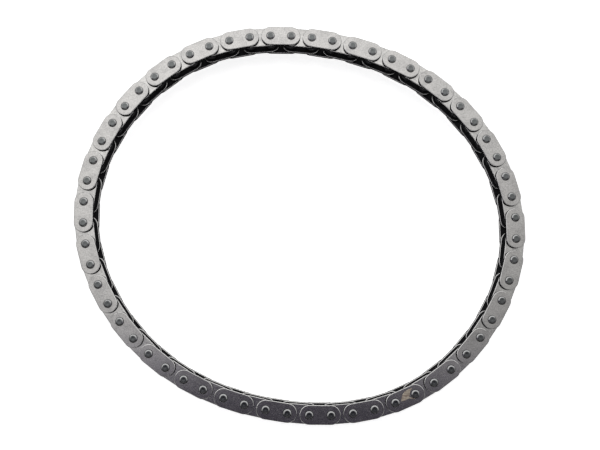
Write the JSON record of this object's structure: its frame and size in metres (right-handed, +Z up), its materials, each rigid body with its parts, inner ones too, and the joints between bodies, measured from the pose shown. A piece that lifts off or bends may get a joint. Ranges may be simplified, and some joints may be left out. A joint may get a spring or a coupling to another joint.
{
  "type": "timing chain",
  "caption": "Endless single-strand bush timing chain of straight-sided steel plates on dark pins, lying flat in an oval loop, with one link marked for timing.",
  "frame": {"origin": "on the surface that the pin ends stand on, under the centre of the loop", "axes": "+Z up along the pins, +X to the right along the loop's longer side, +Y away from the viewer"},
  "size_m": [0.2012, 0.179, 0.0148],
  "materials": {
    "outer_link_steel": "satin, tumbled",
    "inner_link_steel": "satin, tumbled"
  },
  "bodies": {
    "outer_link_01": {"outer_link_01": "outer_link_steel"},
    "inner_link_01": {"inner_link_01": "inner_link_steel"},
    "outer_link_02": {"outer_link_02": "outer_link_steel"},
    "inner_link_02": {"inner_link_02": "inner_link_steel"},
    "outer_link_03": {"outer_link_03": "outer_link_steel"},
    "inner_link_03": {"inner_link_03": "inner_link_steel"},
    "outer_link_04": {"outer_link_04": "outer_link_steel"},
    "inner_link_04": {"inner_link_04": "inner_link_steel"},
    "outer_link_05": {"outer_link_05": "outer_link_steel"},
    "inner_link_05": {"inner_link_05": "inner_link_steel"},
    "outer_link_06": {"outer_link_06": "outer_link_steel"},
    "inner_link_06": {"inner_link_06": "inner_link_steel"},
    "outer_link_07": {"outer_link_07": "outer_link_steel"},
    "inner_link_07": {"inner_link_07": "inner_link_steel"},
    "outer_link_08": {"outer_link_08": "outer_link_steel"},
    "inner_link_08": {"inner_link_08": "inner_link_steel"},
    "outer_link_09": {"outer_link_09": "outer_link_steel"},
    "inner_link_09": {"inner_link_09": "inner_link_steel"},
    "outer_link_10": {"outer_link_10": "outer_link_steel"},
    "inner_link_10": {"inner_link_10": "inner_link_steel"},
    "outer_link_11": {"outer_link_11": "outer_link_steel"},
    "inner_link_11": {"inner_link_11": "inner_link_steel"},
    "outer_link_12": {"outer_link_12": "outer_link_steel"},
    "inner_link_12": {"inner_link_12": "inner_link_steel"},
    "outer_link_13": {"outer_link_13": "outer_link_steel"},
    "inner_link_13": {"inner_link_13": "inner_link_steel"},
    "outer_link_14": {"outer_link_14": "outer_link_steel"},
    "inner_link_14": {"inner_link_14": "inner_link_steel"},
    "outer_link_15": {"outer_link_15": "outer_link_steel"},
    "inner_link_15": {"inner_link_15": "inner_link_steel"},
    "outer_link_16": {"outer_link_16": "outer_link_steel"},
    "inner_link_16": {"inner_link_16": "inner_link_steel"},
    "outer_link_17": {"outer_link_17": "outer_link_steel"},
    "inner_link_17": {"inner_link_17": "inner_link_steel"},
    "outer_link_18": {"outer_link_18": "outer_link_steel"},
    "inner_link_18": {"inner_link_18": "inner_link_steel"},
    "outer_link_19": {"outer_link_19": "outer_link_steel"},
    "inner_link_19": {"inner_link_19": "inner_link_steel"},
    "outer_link_20": {"outer_link_20": "outer_link_steel"},
    "inner_link_20": {"inner_link_20": "inner_link_steel"},
    "outer_link_21": {"outer_link_21": "outer_link_steel"},
    "inner_link_21": {"inner_link_21": "inner_link_steel"},
    "outer_link_22": {"outer_link_22": "outer_link_steel"},
    "inner_link_22": {"inner_link_22": "inner_link_steel"},
    "outer_link_23": {"outer_link_23": "outer_link_steel"},
    "inner_link_23": {"inner_link_23": "inner_link_steel"},
    "outer_link_24": {"outer_link_24": "outer_link_steel"},
    "inner_link_24": {"inner_link_24": "inner_link_steel"},
    "outer_link_25": {"outer_link_25": "outer_link_steel"},
    "inner_link_25": {"inner_link_25": "inner_link_steel"},
    "outer_link_26": {"outer_link_26": "outer_link_steel"},
    "inner_link_26": {"inner_link_26": "inner_link_steel"},
    "outer_link_27": {"outer_link_27": "outer_link_steel"},
    "inner_link_27": {"inner_link_27": "inner_link_steel"},
    "outer_link_28": {"outer_link_28": "outer_link_steel"},
    "inner_link_28": {"inner_link_28": "inner_link_steel"},
    "outer_link_29": {"outer_link_29": "outer_link_steel"},
    "inner_link_29": {"inner_link_29": "inner_link_steel"},
    "outer_link_30": {"outer_link_30": "outer_link_steel"},
    "inner_link_30": {"inner_link_30": "inner_link_steel"}
  },
  "joints": [
    {"name": "pivot_01", "type": "hinge", "parent": "outer_link_01", "child": "inner_link_01", "pos_m": [-0.00389, 0.08516, 0.00738], "axis": [0, 0, -1], "range_deg": [-4.48, 2.69]},
    {"name": "pivot_02", "type": "hinge", "parent": "inner_link_01", "child": "outer_link_02", "pos_m": [0.0056, 0.08433, 0.00738], "axis": [0, 0, -1], "range_deg": [-4.1, 2.46]},
    {"name": "pivot_03", "type": "hinge", "parent": "outer_link_02", "child": "inner_link_02", "pos_m": [0.01501, 0.08282, 0.00738], "axis": [0, 0, -1], "range_deg": [-4.04, 2.43]},
    {"name": "pivot_04", "type": "hinge", "parent": "inner_link_02", "child": "outer_link_03", "pos_m": [0.02428, 0.08066, 0.00738], "axis": [0, 0, -1], "range_deg": [-4.29, 2.58]},
    {"name": "pivot_05", "type": "hinge", "parent": "outer_link_03", "child": "inner_link_03", "pos_m": [0.03337, 0.07781, 0.00738], "axis": [0, 0, -1], "range_deg": [-4.71, 2.83]},
    {"name": "pivot_06", "type": "hinge", "parent": "inner_link_03", "child": "outer_link_04", "pos_m": [0.0422, 0.07423, 0.00738], "axis": [0, 0, -1], "range_deg": [-5.17, 3.1]},
    {"name": "pivot_07", "type": "hinge", "parent": "outer_link_04", "child": "inner_link_04", "pos_m": [0.05066, 0.06986, 0.00738], "axis": [0, 0, -1], "range_deg": [-5.52, 3.32]},
    {"name": "pivot_08", "type": "hinge", "parent": "inner_link_04", "child": "outer_link_05", "pos_m": [0.05867, 0.06471, 0.00738], "axis": [0, 0, -1], "range_deg": [-5.7, 3.43]},
    {"name": "pivot_09", "type": "hinge", "parent": "outer_link_05", "child": "inner_link_05", "pos_m": [0.06613, 0.05879, 0.00738], "axis": [0, 0, -1], "range_deg": [-5.74, 3.45]},
    {"name": "pivot_10", "type": "hinge", "parent": "inner_link_05", "child": "outer_link_06", "pos_m": [0.07297, 0.05215, 0.00738], "axis": [0, 0, -1], "range_deg": [-5.72, 3.44]},
    {"name": "pivot_11", "type": "hinge", "parent": "outer_link_06", "child": "inner_link_06", "pos_m": [0.0791, 0.04487, 0.00738], "axis": [0, 0, -1], "range_deg": [-5.77, 3.46]},
    {"name": "pivot_12", "type": "hinge", "parent": "inner_link_06", "child": "outer_link_07", "pos_m": [0.08448, 0.03701, 0.00738], "axis": [0, 0, -1], "range_deg": [-5.97, 3.59]},
    {"name": "pivot_13", "type": "hinge", "parent": "outer_link_07", "child": "inner_link_07", "pos_m": [0.08901, 0.02863, 0.00738], "axis": [0, 0, -1], "range_deg": [-6.36, 3.82]},
    {"name": "pivot_14", "type": "hinge", "parent": "inner_link_07", "child": "outer_link_08", "pos_m": [0.09259, 0.0198, 0.00738], "axis": [0, 0, -1], "range_deg": [-6.7, 11.17]},
    {"name": "pivot_15", "type": "hinge", "parent": "outer_link_08", "child": "inner_link_08", "pos_m": [0.09509, 0.01061, 0.00738], "axis": [0, 0, -1], "range_deg": [-6.41, 10.68]},
    {"name": "pivot_16", "type": "hinge", "parent": "inner_link_08", "child": "outer_link_09", "pos_m": [0.0964, 0.00118, 0.00738], "axis": [0, 0, -1], "range_deg": [-6.21, 10.35]},
    {"name": "pivot_17", "type": "hinge", "parent": "outer_link_09", "child": "inner_link_09", "pos_m": [0.09644, -0.00835, 0.00738], "axis": [0, 0, -1], "range_deg": [-6.17, 10.28]},
    {"name": "loop_squeeze", "type": "hinge", "parent": "inner_link_09", "child": "outer_link_10", "pos_m": [0.09519, -0.01779, 0.00738], "axis": [0, 0, -1], "range_deg": [-6.29, 10.49]},
    {"name": "pivot_19", "type": "hinge", "parent": "outer_link_10", "child": "inner_link_10", "pos_m": [0.09272, -0.02699, 0.00738], "axis": [0, 0, -1], "range_deg": [-6.57, 10.95]},
    {"name": "pivot_20", "type": "hinge", "parent": "inner_link_10", "child": "outer_link_11", "pos_m": [0.08914, -0.03582, 0.00738], "axis": [0, 0, -1], "range_deg": [-6.88, 11.46]},
    {"name": "pivot_21", "type": "hinge", "parent": "outer_link_11", "child": "inner_link_11", "pos_m": [0.08457, -0.04418, 0.00738], "axis": [0, 0, -1], "range_deg": [-7.12, 11.87]},
    {"name": "pivot_22", "type": "hinge", "parent": "inner_link_11", "child": "outer_link_12", "pos_m": [0.07914, -0.052, 0.00738], "axis": [0, 0, -1], "range_deg": [-7.24, 12.06]},
    {"name": "pivot_23", "type": "hinge", "parent": "outer_link_12", "child": "inner_link_12", "pos_m": [0.07292, -0.05921, 0.00738], "axis": [0, 0, -1], "range_deg": [-7.19, 11.98]},
    {"name": "pivot_24", "type": "hinge", "parent": "inner_link_12", "child": "outer_link_13", "pos_m": [0.06598, -0.06574, 0.00738], "axis": [0, 0, -1], "range_deg": [-6.32, 3.79]},
    {"name": "pivot_25", "type": "hinge", "parent": "outer_link_13", "child": "inner_link_13", "pos_m": [0.05836, -0.07146, 0.00738], "axis": [0, 0, -1], "range_deg": [-6.64, 3.99]},
    {"name": "pivot_26", "type": "hinge", "parent": "inner_link_13", "child": "outer_link_14", "pos_m": [0.05014, -0.07626, 0.00738], "axis": [0, 0, -1], "range_deg": [-6.84, 4.1]},
    {"name": "pivot_27", "type": "hinge", "parent": "outer_link_14", "child": "inner_link_14", "pos_m": [0.0414, -0.08006, 0.00738], "axis": [0, 0, -1], "range_deg": [-6.78, 4.07]},
    {"name": "pivot_28", "type": "hinge", "parent": "inner_link_14", "child": "outer_link_15", "pos_m": [0.03228, -0.0828, 0.00738], "axis": [0, 0, -1], "range_deg": [-6.41, 3.85]},
    {"name": "pivot_29", "type": "hinge", "parent": "outer_link_15", "child": "inner_link_15", "pos_m": [0.02291, -0.0845, 0.00738], "axis": [0, 0, -1], "range_deg": [-5.8, 3.49]},
    {"name": "pivot_30", "type": "hinge", "parent": "inner_link_15", "child": "outer_link_16", "pos_m": [0.01341, -0.08525, 0.00738], "axis": [0, 0, -1], "range_deg": [-5.1, 3.06]},
    {"name": "pivot_60", "type": "hinge", "parent": "outer_link_01", "child": "inner_link_30", "pos_m": [-0.01341, 0.08525, 0.00738], "axis": [0, 0, 1], "range_deg": [-5.1, 3.06]},
    {"name": "pivot_59", "type": "hinge", "parent": "inner_link_30", "child": "outer_link_30", "pos_m": [-0.02291, 0.0845, 0.00738], "axis": [0, 0, 1], "range_deg": [-5.8, 3.49]},
    {"name": "pivot_58", "type": "hinge", "parent": "outer_link_30", "child": "inner_link_29", "pos_m": [-0.03228, 0.0828, 0.00738], "axis": [0, 0, 1], "range_deg": [-6.41, 3.85]},
    {"name": "pivot_57", "type": "hinge", "parent": "inner_link_29", "child": "outer_link_29", "pos_m": [-0.0414, 0.08006, 0.00738], "axis": [0, 0, 1], "range_deg": [-6.78, 4.07]},
    {"name": "pivot_56", "type": "hinge", "parent": "outer_link_29", "child": "inner_link_28", "pos_m": [-0.05014, 0.07626, 0.00738], "axis": [0, 0, 1], "range_deg": [-6.84, 4.1]},
    {"name": "pivot_55", "type": "hinge", "parent": "inner_link_28", "child": "outer_link_28", "pos_m": [-0.05836, 0.07146, 0.00738], "axis": [0, 0, 1], "range_deg": [-6.64, 3.99]},
    {"name": "pivot_54", "type": "hinge", "parent": "outer_link_28", "child": "inner_link_27", "pos_m": [-0.06598, 0.06574, 0.00738], "axis": [0, 0, 1], "range_deg": [-6.32, 3.79]},
    {"name": "pivot_53", "type": "hinge", "parent": "inner_link_27", "child": "outer_link_27", "pos_m": [-0.07292, 0.05921, 0.00738], "axis": [0, 0, 1], "range_deg": [-7.19, 11.98]},
    {"name": "pivot_52", "type": "hinge", "parent": "outer_link_27", "child": "inner_link_26", "pos_m": [-0.07914, 0.052, 0.00738], "axis": [0, 0, 1], "range_deg": [-7.24, 12.06]},
    {"name": "pivot_51", "type": "hinge", "parent": "inner_link_26", "child": "outer_link_26", "pos_m": [-0.08457, 0.04418, 0.00738], "axis": [0, 0, 1], "range_deg": [-7.12, 11.87]},
    {"name": "pivot_50", "type": "hinge", "parent": "outer_link_26", "child": "inner_link_25", "pos_m": [-0.08914, 0.03582, 0.00738], "axis": [0, 0, 1], "range_deg": [-6.88, 11.46]},
    {"name": "pivot_49", "type": "hinge", "parent": "inner_link_25", "child": "outer_link_25", "pos_m": [-0.09272, 0.02699, 0.00738], "axis": [0, 0, 1], "range_deg": [-6.57, 10.95]},
    {"name": "pivot_48", "type": "hinge", "parent": "outer_link_25", "child": "inner_link_24", "pos_m": [-0.09519, 0.01779, 0.00738], "axis": [0, 0, 1], "range_deg": [-6.3, 10.5]},
    {"name": "pivot_47", "type": "hinge", "parent": "inner_link_24", "child": "outer_link_24", "pos_m": [-0.09644, 0.00835, 0.00738], "axis": [0, 0, 1], "range_deg": [-6.17, 10.28]},
    {"name": "pivot_46", "type": "hinge", "parent": "outer_link_24", "child": "inner_link_23", "pos_m": [-0.0964, -0.00118, 0.00738], "axis": [0, 0, 1], "range_deg": [-6.21, 10.35]},
    {"name": "pivot_45", "type": "hinge", "parent": "inner_link_23", "child": "outer_link_23", "pos_m": [-0.09509, -0.01061, 0.00738], "axis": [0, 0, 1], "range_deg": [-6.41, 10.68]},
    {"name": "pivot_44", "type": "hinge", "parent": "outer_link_23", "child": "inner_link_22", "pos_m": [-0.09259, -0.0198, 0.00738], "axis": [0, 0, 1], "range_deg": [-6.7, 11.17]},
    {"name": "pivot_43", "type": "hinge", "parent": "inner_link_22", "child": "outer_link_22", "pos_m": [-0.08901, -0.02863, 0.00738], "axis": [0, 0, 1], "range_deg": [-6.36, 3.82]},
    {"name": "pivot_42", "type": "hinge", "parent": "outer_link_22", "child": "inner_link_21", "pos_m": [-0.08448, -0.03701, 0.00738], "axis": [0, 0, 1], "range_deg": [-5.97, 3.59]},
    {"name": "pivot_41", "type": "hinge", "parent": "inner_link_21", "child": "outer_link_21", "pos_m": [-0.0791, -0.04487, 0.00738], "axis": [0, 0, 1], "range_deg": [-5.77, 3.46]},
    {"name": "pivot_40", "type": "hinge", "parent": "outer_link_21", "child": "inner_link_20", "pos_m": [-0.07297, -0.05215, 0.00738], "axis": [0, 0, 1], "range_deg": [-5.72, 3.44]},
    {"name": "pivot_39", "type": "hinge", "parent": "inner_link_20", "child": "outer_link_20", "pos_m": [-0.06613, -0.05879, 0.00738], "axis": [0, 0, 1], "range_deg": [-5.74, 3.45]},
    {"name": "pivot_38", "type": "hinge", "parent": "outer_link_20", "child": "inner_link_19", "pos_m": [-0.05867, -0.06471, 0.00738], "axis": [0, 0, 1], "range_deg": [-5.7, 3.43]},
    {"name": "pivot_37", "type": "hinge", "parent": "inner_link_19", "child": "outer_link_19", "pos_m": [-0.05066, -0.06986, 0.00738], "axis": [0, 0, 1], "range_deg": [-5.52, 3.32]},
    {"name": "pivot_36", "type": "hinge", "parent": "outer_link_19", "child": "inner_link_18", "pos_m": [-0.0422, -0.07423, 0.00738], "axis": [0, 0, 1], "range_deg": [-5.17, 3.1]},
    {"name": "pivot_35", "type": "hinge", "parent": "inner_link_18", "child": "outer_link_18", "pos_m": [-0.03337, -0.07781, 0.00738], "axis": [0, 0, 1], "range_deg": [-4.71, 2.83]},
    {"name": "pivot_34", "type": "hinge", "parent": "outer_link_18", "child": "inner_link_17", "pos_m": [-0.02428, -0.08066, 0.00738], "axis": [0, 0, 1], "range_deg": [-4.29, 2.58]},
    {"name": "pivot_33", "type": "hinge", "parent": "inner_link_17", "child": "outer_link_17", "pos_m": [-0.01501, -0.08282, 0.00738], "axis": [0, 0, 1], "range_deg": [-4.04, 2.43]},
    {"name": "pivot_32", "type": "hinge", "parent": "outer_link_17", "child": "inner_link_16", "pos_m": [-0.0056, -0.08433, 0.00738], "axis": [0, 0, 1], "range_deg": [-4.1, 2.46]}
  ],
  "couplings": [
    {"joint": "pivot_01", "follows": "loop_squeeze", "ratio": -0.42524},
    {"joint": "pivot_02", "follows": "loop_squeeze", "ratio": -0.38939},
    {"joint": "pivot_03", "follows": "loop_squeeze", "ratio": -0.38415},
    {"joint": "pivot_04", "follows": "loop_squeeze", "ratio": -0.40712},
    {"joint": "pivot_05", "follows": "loop_squeeze", "ratio": -0.44761},
    {"joint": "pivot_06", "follows": "loop_squeeze", "ratio": -0.4911},
    {"joint": "pivot_07", "follows": "loop_squeeze", "ratio": -0.5248},
    {"joint": "pivot_08", "follows": "loop_squeeze", "ratio": -0.54235},
    {"joint": "pivot_09", "follows": "loop_squeeze", "ratio": -0.54576},
    {"joint": "pivot_10", "follows": "loop_squeeze", "ratio": -0.5439},
    {"joint": "pivot_11", "follows": "loop_squeeze", "ratio": -0.54828},
    {"joint": "pivot_12", "follows": "loop_squeeze", "ratio": -0.56782},
    {"joint": "pivot_13", "follows": "loop_squeeze", "ratio": -0.60462},
    {"joint": "pivot_14", "follows": "loop_squeeze", "ratio": 1.0632},
    {"joint": "pivot_15", "follows": "loop_squeeze", "ratio": 1.0164},
    {"joint": "pivot_16", "follows": "loop_squeeze", "ratio": 0.98478},
    {"joint": "pivot_17", "follows": "loop_squeeze", "ratio": 0.97858},
    {"joint": "pivot_19", "follows": "loop_squeeze", "ratio": 1.042},
    {"joint": "pivot_20", "follows": "loop_squeeze", "ratio": 1.0907},
    {"joint": "pivot_21", "follows": "loop_squeeze", "ratio": 1.1301},
    {"joint": "pivot_22", "follows": "loop_squeeze", "ratio": 1.148},
    {"joint": "pivot_23", "follows": "loop_squeeze", "ratio": 1.141},
    {"joint": "pivot_24", "follows": "loop_squeeze", "ratio": -0.60058},
    {"joint": "pivot_25", "follows": "loop_squeeze", "ratio": -0.63123},
    {"joint": "pivot_26", "follows": "loop_squeeze", "ratio": -0.65022},
    {"joint": "pivot_27", "follows": "loop_squeeze", "ratio": -0.64462},
    {"joint": "pivot_28", "follows": "loop_squeeze", "ratio": -0.60988},
    {"joint": "pivot_29", "follows": "loop_squeeze", "ratio": -0.55176},
    {"joint": "pivot_30", "follows": "loop_squeeze", "ratio": -0.48436},
    {"joint": "pivot_60", "follows": "loop_squeeze", "ratio": -0.48436},
    {"joint": "pivot_59", "follows": "loop_squeeze", "ratio": -0.55176},
    {"joint": "pivot_58", "follows": "loop_squeeze", "ratio": -0.60988},
    {"joint": "pivot_57", "follows": "loop_squeeze", "ratio": -0.64462},
    {"joint": "pivot_56", "follows": "loop_squeeze", "ratio": -0.65022},
    {"joint": "pivot_55", "follows": "loop_squeeze", "ratio": -0.63123},
    {"joint": "pivot_54", "follows": "loop_squeeze", "ratio": -0.60058},
    {"joint": "pivot_53", "follows": "loop_squeeze", "ratio": 1.141},
    {"joint": "pivot_52", "follows": "loop_squeeze", "ratio": 1.148},
    {"joint": "pivot_51", "follows": "loop_squeeze", "ratio": 1.1301},
    {"joint": "pivot_50", "follows": "loop_squeeze", "ratio": 1.0907},
    {"joint": "pivot_49", "follows": "loop_squeeze", "ratio": 1.042},
    {"joint": "pivot_48", "follows": "loop_squeeze", "ratio": 1},
    {"joint": "pivot_47", "follows": "loop_squeeze", "ratio": 0.97858},
    {"joint": "pivot_46", "follows": "loop_squeeze", "ratio": 0.98478},
    {"joint": "pivot_45", "follows": "loop_squeeze", "ratio": 1.0164},
    {"joint": "pivot_44", "follows": "loop_squeeze", "ratio": 1.0632},
    {"joint": "pivot_43", "follows": "loop_squeeze", "ratio": -0.60462},
    {"joint": "pivot_42", "follows": "loop_squeeze", "ratio": -0.56782},
    {"joint": "pivot_41", "follows": "loop_squeeze", "ratio": -0.54828},
    {"joint": "pivot_40", "follows": "loop_squeeze", "ratio": -0.5439},
    {"joint": "pivot_39", "follows": "loop_squeeze", "ratio": -0.54576},
    {"joint": "pivot_38", "follows": "loop_squeeze", "ratio": -0.54235},
    {"joint": "pivot_37", "follows": "loop_squeeze", "ratio": -0.5248},
    {"joint": "pivot_36", "follows": "loop_squeeze", "ratio": -0.4911},
    {"joint": "pivot_35", "follows": "loop_squeeze", "ratio": -0.44761},
    {"joint": "pivot_34", "follows": "loop_squeeze", "ratio": -0.40712},
    {"joint": "pivot_33", "follows": "loop_squeeze", "ratio": -0.38415},
    {"joint": "pivot_32", "follows": "loop_squeeze", "ratio": -0.38939}
  ]
}
